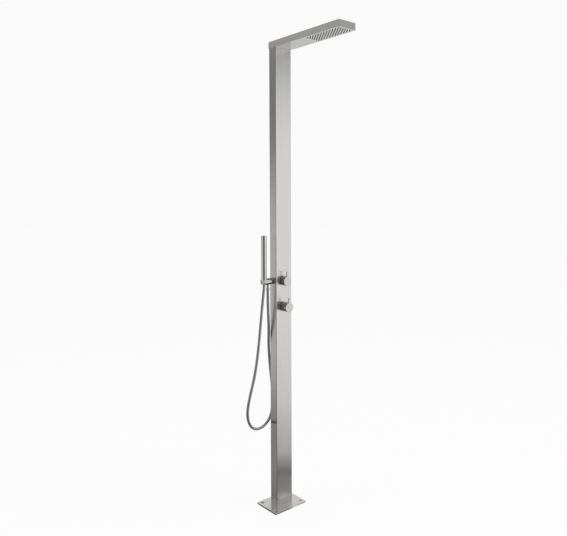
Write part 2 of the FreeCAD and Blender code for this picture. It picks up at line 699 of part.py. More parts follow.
def inlet_lock_nuts():
    nuts = []
    for x in (-SUPPLY_X, SUPPLY_X):
        low = (x, PIPE_Y, INLET_SHOULDER_Z + BRACKET_THICKNESS)
        high = (x, PIPE_Y, INLET_SHOULDER_Z + BRACKET_THICKNESS + INLET_NUT_HEIGHT)
        nut = hex_bar(INLET_HEX_ACROSS_FLATS, low, high)
        nuts.append(nut.cut(rod(INLET_NECK_RADIUS + SMALL_FIT, low, high)))
    return nuts


# Valves, each on an axis along Y at its own height


def valve_block(width, height, z):
    """The block behind the front wall and its neck through the wall, bored for the cartridge."""
    block = box(-width / 2, width / 2, INNER_FRONT_Y, BODY_REAR_Y, z - height / 2, z + height / 2)
    rear_edges = [e for e in block.Edges if min(v.Point.y for v in e.Vertexes) > BODY_REAR_Y - SAME]
    block = block.makeChamfer(BODY_EDGE, rear_edges)
    block = block.fuse(rod(NECK_RADIUS, (0, NECK_FRONT_Y, z), (0, INNER_FRONT_Y, z)))
    bore = rod(CARTRIDGE_RADIUS + CARTRIDGE_FIT, (0, NECK_FRONT_Y, z), (0, CARTRIDGE_REAR_Y, z))
    return block.cut(bore)


def port(x, z_face, z_inner):
    """The socket for a pipe in a face square to Z, and the waterway on from it."""
    inwards = 1 if z_inner > z_face else -1
    shelf = z_face + inwards * PIPE_SOCKET_DEPTH
    socket = rod(PIPE_SOCKET_RADIUS, (x, PIPE_Y, z_face), (x, PIPE_Y, shelf))
    return socket.fuse(rod(WATERWAY_RADIUS, (x, PIPE_Y, shelf), (x, PIPE_Y, z_inner)))


def port_rods(places, z, y0, y1):
    """Small bores along Y where water passes the ceramic discs; places point from the axis."""
    rods = []
    for side, up in places:
        x = side * DISC_PORT_OFFSET
        port_z = z + up * DISC_PORT_OFFSET
        rods.append(rod(DISC_PORT_RADIUS, (x, y0, port_z), (x, y1, port_z)))
    return rods


def mixer_body():
    """Hot and cold water come up at the sides, and mixed water leaves at the top."""
    body = valve_block(MIXER_BODY_WIDTH, MIXER_BODY_HEIGHT, MIXER_Z)
    cross_z = MIXER_BOTTOM_Z + PIPE_SOCKET_DEPTH + WATERWAY_RADIUS
    for x in (-SUPPLY_X, SUPPLY_X):
        inner_x = math.copysign(DISC_PORT_OFFSET, x)
        body = body.cut(port(x, MIXER_BOTTOM_Z, cross_z + WATERWAY_RADIUS))
        body = body.cut(rod(CROSS_BORE_RADIUS, (x, PIPE_Y, cross_z), (inner_x, PIPE_Y, cross_z)))
        low = (inner_x, PIPE_Y, cross_z - BORE_OVERRUN)
        high = (inner_x, PIPE_Y, MIXER_Z + DISC_PORT_RADIUS + BORE_OVERRUN)
        body = body.cut(rod(DISC_PORT_RADIUS + BORE_OVERRUN / 2, low, high))
    body = body.cut(port(0, MIXER_TOP_Z, MIXER_Z + DISC_PORT_OFFSET - BORE_OVERRUN))
    for bore in port_rods(MIXER_PORTS, MIXER_Z, CARTRIDGE_REAR_Y, PIPE_Y + BORE_OVERRUN):
        body = body.cut(bore)
    return body


def diverter_body():
    """Mixed water comes up from below and leaves at the top or at the left side."""
    body = valve_block(DIVERTER_BODY_WIDTH, DIVERTER_BODY_HEIGHT, DIVERTER_Z)
    body = body.cut(port(0, DIVERTER_BOTTOM_Z, DIVERTER_Z - DISC_PORT_OFFSET + BORE_OVERRUN))
    body = body.cut(port(0, DIVERTER_TOP_Z, DIVERTER_Z + DISC_PORT_OFFSET - BORE_OVERRUN))
    side = -DIVERTER_BODY_WIDTH / 2
    shelf = (side + NIPPLE_INSERTION, ARM_Y, DIVERTER_Z)
    body = body.cut(rod(NIPPLE_RADIUS + THREAD_FIT, (side, ARM_Y, DIVERTER_Z), shelf))
    inner = (-DISC_PORT_OFFSET + BORE_OVERRUN, ARM_Y, DIVERTER_Z)
    body = body.cut(rod(CROSS_BORE_RADIUS, shelf, inner))
    for bore in port_rods(DIVERTER_PORTS, DIVERTER_Z, CARTRIDGE_REAR_Y, ARM_Y + BORE_OVERRUN):
        body = body.cut(bore)
    return body


def valve_seal(z):
    return tube(SEAL_RADIUS, NECK_RADIUS + SMALL_FIT, (0, FRONT_Y - SEAL_THICKNESS, z), (0, FRONT_Y, z))


def lock_nut(z):
    """A round nut on the neck with four key slots."""
    rear = FRONT_Y - SEAL_THICKNESS
    front = rear - LOCK_NUT_THICKNESS
    nut = tube(LOCK_NUT_RADIUS, NECK_RADIUS + SMALL_FIT, (0, front, z), (0, rear, z))
    half = LOCK_NUT_SLOT / 2
    deep = LOCK_NUT_RADIUS - LOCK_NUT_SLOT_DEPTH
    nut = nut.cut(box(-half, half, front, rear, z + deep, z + LOCK_NUT_RADIUS))
    nut = nut.cut(box(-half, half, front, rear, z - LOCK_NUT_RADIUS, z - deep))
    nut = nut.cut(box(deep, LOCK_NUT_RADIUS, front, rear, z - half, z + half))
    return nut.cut(box(-LOCK_NUT_RADIUS, -deep, front, rear, z - half, z + half))


def cartridge(z, places):
    """The cartridge's can, with ports in its floor and a hole for the stem in its front."""
    can = rod(CARTRIDGE_RADIUS, (0, NECK_FRONT_Y, z), (0, CARTRIDGE_REAR_Y, z))
    floor_y = CARTRIDGE_REAR_Y - CARTRIDGE_END
    lid_y = NECK_FRONT_Y + CARTRIDGE_END
    can = can.cut(rod(CARTRIDGE_RADIUS - CARTRIDGE_WALL, (0, lid_y, z), (0, floor_y, z)))
    can = can.cut(rod(STEM_RADIUS + STEM_CLEARANCE, (0, NECK_FRONT_Y, z), (0, lid_y, z)))
    return can.cut(Part.makeCompound(port_rods(places, z, floor_y, CARTRIDGE_REAR_Y)))


def cartridge_nut(z):
    """A cap nut on the neck that keeps the cartridge in."""
    rear = NECK_FRONT_Y + CAP_NUT_SKIRT
    front = NECK_FRONT_Y - CAP_NUT_END
    nut = rod(LOCK_NUT_RADIUS, (0, front, z), (0, rear, z))
    nut = nut.cut(rod(NECK_RADIUS + SMALL_FIT, (0, NECK_FRONT_Y, z), (0, rear, z)))
    return nut.cut(rod(CAP_NUT_HOLE_RADIUS, (0, front, z), (0, NECK_FRONT_Y, z)))


def disc_radius():
    return CARTRIDGE_RADIUS - CARTRIDGE_WALL - DISC_CLEARANCE


def fixed_disc(z, places):
    rear = CARTRIDGE_REAR_Y - CARTRIDGE_END
    disc = rod(disc_radius(), (0, rear - DISC_THICKNESS, z), (0, rear, z))
    return disc.cut(Part.makeCompound(port_rods(places, z, rear - DISC_THICKNESS, rear)))


def moving_disc(z):
    """The disc that turns, with one blind slot that joins ports of the fixed disc."""
    rear = CARTRIDGE_REAR_Y - CARTRIDGE_END - DISC_THICKNESS
    front = rear - DISC_THICKNESS
    disc = rod(disc_radius(), (0, front, z), (0, rear, z))
    slot = slot_block(2 * DISC_PORT_RADIUS, 4 * DISC_PORT_RADIUS, 0, rear - DISC_THICKNESS / 2, rear, z)
    slot.translate(V(0, 0, DISC_PORT_OFFSET / 2))
    return disc.cut(slot)


def valve_stem(z, knob_reach):
    """The carrier behind the moving disc, the round stem and the square that drives the knob."""
    rear = CARTRIDGE_REAR_Y - CARTRIDGE_END - 2 * DISC_THICKNESS
    shoulder = rear - STEM_CARRIER_LENGTH
    round_end = NECK_FRONT_Y - STEM_SHOULDER
    square_end = FRONT_Y - knob_reach + KNOB_CAP
    half = STEM_SQUARE / 2
    stem = rod(disc_radius(), (0, shoulder, z), (0, rear, z))
    stem = stem.fuse(rod(STEM_RADIUS, (0, round_end, z), (0, shoulder, z)))
    return stem.fuse(box(-half, half, square_end, round_end, z - half, z + half))


def pin_y(knob_reach):
    return FRONT_Y - knob_reach + PIN_FROM_CAP


def knob(z, knob_reach):
    """A turned solid cylinder, hollow behind where it covers the nuts, square inside for the stem."""
    cap_y = FRONT_Y - knob_reach
    shape = rod(KNOB_RADIUS, (0, cap_y, z), (0, KNOB_REAR_Y, z))
    shape = rim(shape, KNOB_EDGE, cap_y, V(0, 1, 0), KNOB_RADIUS)
    shape = shape.cut(rod(KNOB_CAVITY_RADIUS, (0, KNOB_SOLID_Y, z), (0, KNOB_REAR_Y, z)))
    half = STEM_SQUARE / 2 + SMALL_FIT
    shape = shape.cut(box(-half, half, cap_y + KNOB_CAP, KNOB_SOLID_Y, z - half, z + half))
    y = pin_y(knob_reach)
    pin_hole = rod(PIN_THREAD_RADIUS + SMALL_FIT, (0, y, z + PIN_ROOT_RADIAL), (0, y, z + KNOB_RADIUS))
    grub_hole = rod(GRUB_RADIUS + SMALL_FIT, (0, y, z - KNOB_RADIUS), (0, y, z - STEM_SQUARE / 2))
    return shape.cut(pin_hole).cut(grub_hole)


def knob_pin(z, knob_reach):
    """The pin screwed upright into the knob's side."""
    y = pin_y(knob_reach)
    seat = z + KNOB_RADIUS
    tip = z + PIN_TIP_RADIAL
    pin = rod(PIN_RADIUS, (0, y, seat), (0, y, tip))
    pin = rim(pin, PIN_EDGE, tip, V(0, 0, 1), PIN_RADIUS)
    return pin.fuse(rod(PIN_THREAD_RADIUS, (0, y, z + PIN_ROOT_RADIAL), (0, y, seat)))


def grub_screw(z, knob_reach):
    """The screw that clamps the knob to a flat of the stem's square."""
    y = pin_y(knob_reach)
    top = z - STEM_SQUARE / 2
    screw = rod(GRUB_RADIUS, (0, y, top - GRUB_LENGTH), (0, y, top))
    return screw.cut(rod(GRUB_KEY_RADIUS, (0, y, top - GRUB_LENGTH), (0, y, top - GRUB_LENGTH / 2)))


# Water outlet and holder


def at_outlet(z):
    return (OUTLET_X, ARM_Y, z)


def at_handset(z):
    return (HANDSET_X, ARM_Y, z)


def outlet_arm():
    """The horizontal outlet, with the holder's socket in its end and the hose stub below it."""
    face_x = -POST_WIDTH / 2
    seam = (HOLDER_SEAM_X, ARM_Y, DIVERTER_Z)
    arm = rod(ARM_RADIUS, (face_x, ARM_Y, DIVERTER_Z), seam)
    arm = arm.fuse(rod(STUB_RADIUS, at_outlet(STUB_END_Z), at_outlet(DIVERTER_Z)))
    socket_end = (HOLDER_SEAM_X + HOLDER_SPIGOT_LENGTH, ARM_Y, DIVERTER_Z)
    arm = arm.cut(rod(HOLDER_SPIGOT_RADIUS + THREAD_FIT, seam, socket_end))
    inner_end = (face_x - NIPPLE_INSERTION, ARM_Y, DIVERTER_Z)
    arm = arm.cut(rod(NIPPLE_RADIUS + THREAD_FIT, (face_x, ARM_Y, DIVERTER_Z), inner_end))
    arm = arm.cut(rod(NIPPLE_BORE_RADIUS, inner_end, at_outlet(DIVERTER_Z)))
    return arm.cut(rod(STUB_BORE_RADIUS, at_outlet(STUB_END_Z), at_outlet(DIVERTER_Z)))


def arm_nipple():
    """The threaded nipple from the diverter, through the post's wall, into the arm."""
    inner = (-DIVERTER_BODY_WIDTH / 2 + NIPPLE_INSERTION, ARM_Y, DIVERTER_Z)
    outer = (-POST_WIDTH / 2 - NIPPLE_INSERTION, ARM_Y, DIVERTER_Z)
    return tube(NIPPLE_RADIUS, NIPPLE_BORE_RADIUS, outer, inner)


def arm_lock_nut():
    near = (-INNER_X, ARM_Y, DIVERTER_Z)
    far = (-INNER_X + ARM_NUT_THICKNESS, ARM_Y, DIVERTER_Z)
    return hex_bar(ARM_NUT_ACROSS_FLATS, near, far).cut(rod(NIPPLE_RADIUS + THREAD_FIT, near, far))


def cone_radius(z):
    """The cone nut's radius at a height."""
    share = (z - CONE_NUT_BOTTOM_Z) / CONE_NUT_LENGTH
    return CONE_NUT_BOTTOM_RADIUS + share * (CONE_NUT_TOP_RADIUS - CONE_NUT_BOTTOM_RADIUS)


def handset_holder():
    """The arm's forked end: bored to the cone nut's taper and slotted to let the hose in."""
    end = (HOLDER_END_X, ARM_Y, DIVERTER_Z)
    seam = (HOLDER_SEAM_X, ARM_Y, DIVERTER_Z)
    spigot_end = (HOLDER_SEAM_X + HOLDER_SPIGOT_LENGTH, ARM_Y, DIVERTER_Z)
    fork = rim(rod(ARM_RADIUS, end, seam), HOLDER_EDGE, HOLDER_END_X, V(1, 0, 0), ARM_RADIUS)
    fork = fork.fuse(rod(HOLDER_SPIGOT_RADIUS, seam, spigot_end))
    low_z = DIVERTER_Z - ARM_RADIUS - BORE_OVERRUN
    high_z = DIVERTER_Z + ARM_RADIUS + BORE_OVERRUN
    low = cone_radius(low_z) + SEAT_CLEARANCE
    high = cone_radius(HOLDER_TOP_Z) + SEAT_CLEARANCE
    fork = fork.cut(Part.makeCone(low, high, HOLDER_TOP_Z - low_z, V(HANDSET_X, ARM_Y, low_z)))
    spot_face = rod(HANDSET_RADIUS + SPOT_FACE_MARGIN, at_handset(HOLDER_TOP_Z), at_handset(high_z))
    half = HOLDER_SLOT / 2
    far_x = HOLDER_END_X - BORE_OVERRUN
    return fork.cut(spot_face).cut(box(far_x, HANDSET_X, ARM_Y - half, ARM_Y + half, low_z, high_z))


# Hose


def rounded_path(points):
    """Straight runs joined by arcs that touch both runs; prints each arc's radius."""
    corners = [V(*p) for p in points]
    edges = []
    start = corners[0]
    for before, corner, after in zip(corners, corners[1:], corners[2:]):
        arriving = corner - before
        leaving = after - corner
        turn = arriving.getAngle(leaving)
        cut = ARC_SHARE * min(arriving.Length, leaving.Length)
        radius = cut / math.tan(turn / 2)
        print("hose arc radius %.1f" % radius)
        first = corner - arriving.normalize() * cut
        last = corner + leaving.normalize() * cut
        to_middle = (first + last) * 0.5 - corner
        inwards = radius / math.cos(turn / 2) - radius
        middle = corner + to_middle.normalize() * inwards
        edges.append(Part.LineSegment(start, first).toShape())
        edges.append(Part.Arc(first, middle, last).toShape())
        start = last
    edges.append(Part.LineSegment(start, corners[-1]).toShape())
    return Part.Wire(edges)


def hose():
    route = [at_outlet(HOSE_START_Z), *HOSE_ROUTE, at_handset(HOSE_END_Z)]
    path = rounded_path(route)
    start = V(*route[0])
    profile = Part.Wire(Part.makeCircle(HOSE_RADIUS, start, V(*route[1]) - start))
    shape = path.makePipeShell([profile], True, False)
    expected = math.pi * HOSE_RADIUS**2 * path.Length
    print("hose length %.1f, volume %.4f of section times length" % (path.Length, shape.Volume / expected))
    return shape


def hose_outlet_nut():
    """The nut on the stub, with a lip that pulls the hose's flange up to the washer."""
    top_z = OUTLET_NUT_Z + OUTLET_NUT_HEIGHT
    nut = rod(OUTLET_NUT_RADIUS, at_outlet(OUTLET_NUT_Z), at_outlet(top_z))
    nut = rim(nut, OUTLET_NUT_EDGE, top_z, V(0, 0, 1), OUTLET_NUT_RADIUS)
    nut = nut.cut(rod(STUB_RADIUS + SMALL_FIT, at_outlet(OUTLET_FLANGE_Z), at_outlet(top_z)))
    lip_hole = OUTLET_FERRULE_RADIUS + SMALL_FIT
    return nut.cut(rod(lip_hole, at_outlet(OUTLET_NUT_Z), at_outlet(OUTLET_FLANGE_Z)))


def hose_outlet_ferrule():
    """The hose's lower end: a flange in the nut and the sleeve that holds the hose."""
    flange_top = OUTLET_FLANGE_Z + FERRULE_FLANGE
    shape = rod(STUB_RADIUS, at_outlet(OUTLET_FLANGE_Z), at_outlet(flange_top))
    shape = shape.fuse(rod(OUTLET_FERRULE_RADIUS, at_outlet(HOSE_START_Z), at_outlet(OUTLET_FLANGE_Z)))
    return shape.cut(rod(FERRULE_BORE_RADIUS, at_outlet(HOSE_START_Z), at_outlet(flange_top)))


def hose_outlet_washer():
    low = at_outlet(OUTLET_FLANGE_Z + FERRULE_FLANGE)
    return tube(STUB_RADIUS, STUB_BORE_RADIUS, low, at_outlet(STUB_END_Z))


def hose_cone_nut():
    """The tapered nut that joins the hose to the handset and seats in the holder."""
    foot = V(*at_handset(CONE_NUT_BOTTOM_Z))
    nut = Part.makeCone(CONE_NUT_BOTTOM_RADIUS, CONE_NUT_TOP_RADIUS, CONE_NUT_LENGTH, foot)
    socket_radius = HANDSET_SPIGOT_RADIUS + SMALL_FIT
    nut = nut.cut(rod(socket_radius, at_handset(CONE_NUT_SHELF_Z), at_handset(CONE_NUT_TOP_Z)))
    lip_hole = SWIVEL_RADIUS + SWIVEL_CLEARANCE
    return nut.cut(rod(lip_hole, at_handset(CONE_NUT_BOTTOM_Z), at_handset(CONE_NUT_SHELF_Z)))


def hose_handset_ferrule():
    """The hose's upper end, on which the cone nut and the handset swivel."""
    flange_low = SWIVEL_TOP_Z - SWIVEL_FLANGE
    flange_radius = HANDSET_SPIGOT_RADIUS + SMALL_FIT - SWIVEL_CLEARANCE
    shape = rod(flange_radius, at_handset(flange_low), at_handset(SWIVEL_TOP_Z))
    shape = shape.fuse(rod(SWIVEL_RADIUS, at_handset(HOSE_END_Z), at_handset(flange_low)))
    return shape.cut(rod(FERRULE_BORE_RADIUS, at_handset(HOSE_END_Z), at_handset(SWIVEL_TOP_Z)))


def handset_washer():
    low = at_handset(SWIVEL_TOP_Z + SMALL_FIT)
    high = at_handset(HANDSET_BOTTOM_Z - HANDSET_SPIGOT_LENGTH)
    return tube(HANDSET_SPIGOT_RADIUS, FERRULE_BORE_RADIUS, low, high)


# Hand shower


def spray_middle_z():
    return HANDSET_TOP_Z - SPRAY_TOP_MARGIN - SPRAY_FLAT_LENGTH / 2


def handset_body():
    """A round stick with a threaded spigot below and a flat for the spray plate near the top."""
    body = rod(HANDSET_RADIUS, at_handset(HANDSET_BOTTOM_Z), at_handset(HANDSET_TOP_Z))
    body = rim(body, HANDSET_EDGE, HANDSET_TOP_Z, V(0, 0, 1), HANDSET_RADIUS)
    spigot = at_handset(HANDSET_BOTTOM_Z - HANDSET_SPIGOT_LENGTH)
    body = body.fuse(rod(HANDSET_SPIGOT_RADIUS, spigot, at_handset(HANDSET_BOTTOM_Z)))
    cavity_top = at_handset(HANDSET_TOP_Z - HANDSET_SOLID_LENGTH)
    cavity_low = at_handset(HANDSET_BOTTOM_Z + HANDSET_FLOOR)
    body = body.cut(rod(HANDSET_RADIUS - HANDSET_WALL, cavity_low, cavity_top))
    bore_top = at_handset(spray_middle_z() + SPRAY_PLATE_LENGTH / 2 - SPRAY_PLATE_WIDTH / 2)
    body = body.cut(rod(HANDSET_BORE_RADIUS, spigot, bore_top))
    flat_y = ARM_Y + SPRAY_FLAT
    half = SPRAY_FLAT_LENGTH / 2
    x = HANDSET_RADIUS
    beyond = ARM_Y + HANDSET_RADIUS
    middle = spray_middle_z()
    body = body.cut(box(HANDSET_X - x, HANDSET_X + x, flat_y, beyond, middle - half, middle + half))
    width = SPRAY_PLATE_WIDTH + 2 * SMALL_FIT
    length = SPRAY_PLATE_LENGTH + 2 * SMALL_FIT
    seat_y = flat_y - SPRAY_PLATE_THICKNESS + SPRAY_PLATE_PROUD
    body = body.cut(slot_block(width, length, HANDSET_X, seat_y, flat_y, middle))
    hollow = width - 2 * SPRAY_PLATE_THICKNESS
    hollow_length = length - 2 * SPRAY_PLATE_THICKNESS
    return body.cut(
        slot_block(hollow, hollow_length, HANDSET_X, flat_y - SPRAY_POCKET_DEPTH, seat_y, middle)
    )


def handset_spray_face():
    """The insert in the handset's flat, with its grid of small spray nubs."""
    outer_y = ARM_Y + SPRAY_FLAT + SPRAY_PLATE_PROUD
    middle = spray_middle_z()
    inner_y = outer_y - SPRAY_PLATE_THICKNESS
    plate = slot_block(SPRAY_PLATE_WIDTH, SPRAY_PLATE_LENGTH, HANDSET_X, inner_y, outer_y, middle)
    nubs = []
    for column in range(SPRAY_COLUMNS):
        x = HANDSET_X + (column - (SPRAY_COLUMNS - 1) / 2) * SPRAY_PITCH
        for row in range(SPRAY_ROWS):
            z = middle + (row - (SPRAY_ROWS - 1) / 2) * SPRAY_PITCH
            nubs.append(rod(SPRAY_NUB_RADIUS, (x, outer_y, z), (x, outer_y + SPRAY_NUB_HEIGHT, z)))
    return plate.fuse(nubs)


def valve_pieces(name, z, knob_reach, ports):
    """The pieces that the mixer and the diverter have alike."""
    return {
        name + "_seal": valve_seal(z),
        name + "_lock_nut": lock_nut(z),
        name + "_cartridge": cartridge(z, ports),
        name + "_cartridge_nut": cartridge_nut(z),
        name + "_fixed_disc": fixed_disc(z, ports),
        name + "_moving_disc": moving_disc(z),
        name + "_stem": valve_stem(z, knob_reach),
        name + "_knob": knob(z, knob_reach),
        name + "_pin": knob_pin(z, knob_reach),
        name + "_grub_screw": grub_screw(z, knob_reach),
    }


def all_pieces():
    pieces = {
        "base_plate": base_plate(),
        "post_tube": post_tube(),
        "service_cover": service_cover(),
        "service_cover_screws": service_cover_screws(),
        "head_shell": head_shell(),
        "head_underside_plate": head_underside_plate(),
        "head_screws": head_screws(),
        "head_rivet_nuts": head_rivet_nuts(),
        "nozzle_mat": nozzle_mat(),
        "spray_chamber": spray_chamber(),
        "head_feed_pipe": head_feed_pipe(),
        "head_elbow": head_elbow(),
        "riser_pipe": riser_pipe(),
        "link_pipe": link_pipe(),
        "hot_pipe": supply_pipe(-SUPPLY_X),
        "cold_pipe": supply_pipe(SUPPLY_X),
        "pipe_nuts": pipe_nuts(),
        "pipe_clips": pipe_clips(),
        "hot_inlet": inlet_connector(-SUPPLY_X),
        "cold_inlet": inlet_connector(SUPPLY_X),
        "check_valves": check_valves(),
        "inlet_bracket": inlet_bracket(),
        "inlet_lock_nuts": inlet_lock_nuts(),
        "mixer_body": mixer_body(),
        "diverter_body": diverter_body(),
        "outlet_arm": outlet_arm(),
        "arm_nipple": arm_nipple(),
        "arm_lock_nut": arm_lock_nut(),
        "handset_holder": handset_holder(),
        "hose": hose(),
        "hose_outlet_nut": hose_outlet_nut(),
        "hose_outlet_ferrule": hose_outlet_ferrule(),
        "hose_outlet_washer": hose_outlet_washer(),
        "hose_cone_nut": hose_cone_nut(),
        "hose_handset_ferrule": hose_handset_ferrule(),
        "handset_washer": handset_washer(),
        "handset_body": handset_body(),
        "handset_spray_face": handset_spray_face(),
    }
    pieces.update(valve_pieces("mixer", MIXER_Z, MIXER_KNOB_REACH, MIXER_PORTS))
    pieces.update(valve_pieces("diverter", DIVERTER_Z, DIVERTER_KNOB_REACH, DIVERTER_PORTS))
    return pieces


def save(name, shape):
    if isinstance(shape, list):
        shape = Part.makeCompound(shape)
    if not shape.isValid():
        print(name, "is not valid")
    shape.exportStep("parts/" + name + ".step")


os.makedirs("parts", exist_ok=True)
for piece_name, piece in all_pieces().items():
    save(piece_name, piece)
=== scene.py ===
import math

import bpy
from mathutils import Matrix, Vector


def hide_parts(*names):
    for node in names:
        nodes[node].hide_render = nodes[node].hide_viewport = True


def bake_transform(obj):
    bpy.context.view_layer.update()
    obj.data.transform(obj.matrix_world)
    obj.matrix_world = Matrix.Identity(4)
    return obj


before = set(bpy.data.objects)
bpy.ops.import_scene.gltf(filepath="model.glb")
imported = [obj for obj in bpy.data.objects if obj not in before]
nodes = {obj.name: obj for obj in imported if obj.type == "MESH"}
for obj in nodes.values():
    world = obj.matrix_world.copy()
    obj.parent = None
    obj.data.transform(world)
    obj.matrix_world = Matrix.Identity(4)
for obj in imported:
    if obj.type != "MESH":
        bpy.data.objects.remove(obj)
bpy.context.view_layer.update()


class Graph:
    """A material's or world's node tree, with short calls for what the materials share."""

    # The places of a Mix node's colour sockets
    MIX_FIRST = 6
    MIX_SECOND = 7
    MIX_RESULT = 2

    def __init__(self, tree):
        self.tree = tree
        tree.nodes.clear()

    def add(self, kind, **settings):
        node = self.tree.nodes.new(kind)
        for name, value in settings.items():
            setattr(node, name, value)
        return node

    def link(self, output, target):
        self.tree.links.new(output, target)

    def feed(self, value, socket):
        """Links an output to the socket, or sets the socket to a number or a colour."""
        if isinstance(value, bpy.types.NodeSocket):
            self.link(value, socket)
        elif isinstance(value, tuple):
            socket.default_value = (*value, 1.0)
        else:
            socket.default_value = value

    def math(self, operation, a, b=0.0, c=0.0, clamp=False):
        node = self.add("ShaderNodeMath", operation=operation, use_clamp=clamp)
        for socket, value in zip(node.inputs, (a, b, c)):
            self.feed(value, socket)
        return node.outputs[0]

    def vary(self, middle, noise, change):
        """The middle, a number or an output, moved by the noise: by the change's low where it is 0, and
        by its high where it is 1."""
        low, high = change
        if not isinstance(middle, bpy.types.NodeSocket):
            start = middle + low
        elif low:
            start = self.math("ADD", middle, low)
        else:
            start = middle
        return self.math("MULTIPLY_ADD", noise, high - low, start)

    def span(self, value, low, high):
        """0 to 1 as the value goes from low to high."""
        node = self.add("ShaderNodeMapRange")
        self.link(value, node.inputs["Value"])
        node.inputs["From Min"].default_value = low
        node.inputs["From Max"].default_value = high
        return node.outputs[0]

    def ramp(self, factor, stops):
        """A straight ramp: stops are (position from 0 to 1, grey or colour)."""
        node = self.add("ShaderNodeValToRGB")
        ramp = node.color_ramp
        ramp.interpolation = "LINEAR"
        while len(ramp.elements) > 1:
            ramp.elements.remove(ramp.elements[-1])
        for number, (place, value) in enumerate(stops):
            element = ramp.elements[0] if number == 0 else ramp.elements.new(place)
            element.position = place
            colour = value if isinstance(value, tuple) else (value, value, value)
            element.color = (*colour, 1.0)
        self.link(factor, node.inputs[0])
        return node.outputs[0]

    def mix(self, factor, first, second, blend="MIX"):
        node = self.add("ShaderNodeMix", data_type="RGBA", blend_type=blend)
        self.feed(factor, node.inputs["Factor"])
        self.feed(first, node.inputs[self.MIX_FIRST])
        self.feed(second, node.inputs[self.MIX_SECOND])
        return node.outputs[self.MIX_RESULT]

    def noise(self, scale, detail=2.0, roughness=0.5):
        """Noise in the object's own coordinates. Its scale is features per metre, as one number or one
        for each axis."""
        mapping = self.add("ShaderNodeMapping")
        self.link(self.add("ShaderNodeTexCoord").outputs["Object"], mapping.inputs["Vector"])
        mapping.inputs["Scale"].default_value = scale if isinstance(scale, tuple) else (scale,) * 3
        node = self.add("ShaderNodeTexNoise")
        self.link(mapping.outputs[0], node.inputs["Vector"])
        node.inputs["Scale"].default_value = 1.0
        node.inputs["Detail"].default_value = detail
        node.inputs["Roughness"].default_value = roughness
        return node.outputs[0]

    def shaded(self, colour, tone):
        """The colour times a tone that varies."""
        grey = self.add("ShaderNodeCombineColor")
        for socket in grey.inputs:
            self.link(tone, socket)
        return self.mix(1.0, colour, grey.outputs[0], "MULTIPLY")

    def patches(self, noise, edges, first, second):
        """The first colour where the noise is under both edges, the second where it is over them."""
        return self.mix(self.span(noise, *edges), first, second)

    def brightness(self, colour):
        node = self.add("ShaderNodeRGBToBW")
        self.link(colour, node.inputs[0])
        return node.outputs[0]

    def surface(self, colour, roughness, metallic=1.0, relief=None, depth=0.0):
        """A Principled surface. Relief is the output that gives its height, and depth its metres."""
        shader = self.add("ShaderNodeBsdfPrincipled")
        shader.inputs["Metallic"].default_value = metallic
        self.feed(colour, shader.inputs["Base Color"])
        self.feed(roughness, shader.inputs["Roughness"])
        if relief is not None:
            bump = self.add("ShaderNodeBump")
            bump.inputs["Strength"].default_value = 1.0
            bump.inputs["Distance"].default_value = depth
            self.link(relief, bump.inputs["Height"])
            self.link(bump.outputs[0], shader.inputs["Normal"])
        out = self.add("ShaderNodeOutputMaterial")
        self.link(shader.outputs[0], out.inputs["Surface"])
        return shader

    def by_ray(self, matt, mirrored, shown, shown_share=1.0):
        """Gives glossy rays the mirrored shader, matt surfaces the matt one, and the camera and glass
        the shown one, by its share, over the matt one."""
        rays = self.add("ShaderNodeLightPath").outputs
        lit = self.add("ShaderNodeMixShader")
        self.link(rays["Is Glossy Ray"], lit.inputs[0])
        self.link(matt.outputs[0], lit.inputs[1])
        self.link(mirrored.outputs[0], lit.inputs[2])
        seen = self.add("ShaderNodeMixShader")
        watched = self.math("MAXIMUM", rays["Is Camera Ray"], rays["Is Transmission Ray"])
        self.link(self.math("MULTIPLY", watched, shown_share), seen.inputs[0])
        self.link(lit.outputs[0], seen.inputs[1])
        self.link(shown.outputs[0], seen.inputs[2])
        return seen.outputs[0]


def new_material(name):
    material = bpy.data.materials.new(name)
    material.use_nodes = True
    return material, Graph(material.node_tree)


# Materials. Noise scales are features per metre, relief is in metres, and each change is how far a
# noise takes the brightness or the roughness down and up.

SATIN_COLOUR = (0.63, 0.625, 0.615)
SATIN_ROUGHNESS = 0.25
SATIN_SPREAD = 0.8
SCRATCHES_ACROSS = 1400.0
SCRATCHES_ALONG = 9.0
STREAKS_ACROSS = 260.0
STREAKS_ALONG = 1.6
CLOUDS = (3.0, 3.0, 2.0)
STREAKS_TONE_CHANGE = (-0.05, 0.05)
SCRATCHES_ROUGHNESS_CHANGE = (-0.04, 0.04)
CLOUDS_CHANGE = (-0.025, 0.025)
SATIN_RELIEF = 0.000012
# The grain leans a little off its axis, so that it has a direction on faces square to that axis too
GRAIN_LEAN = (0.0, 0.02, 0.02)


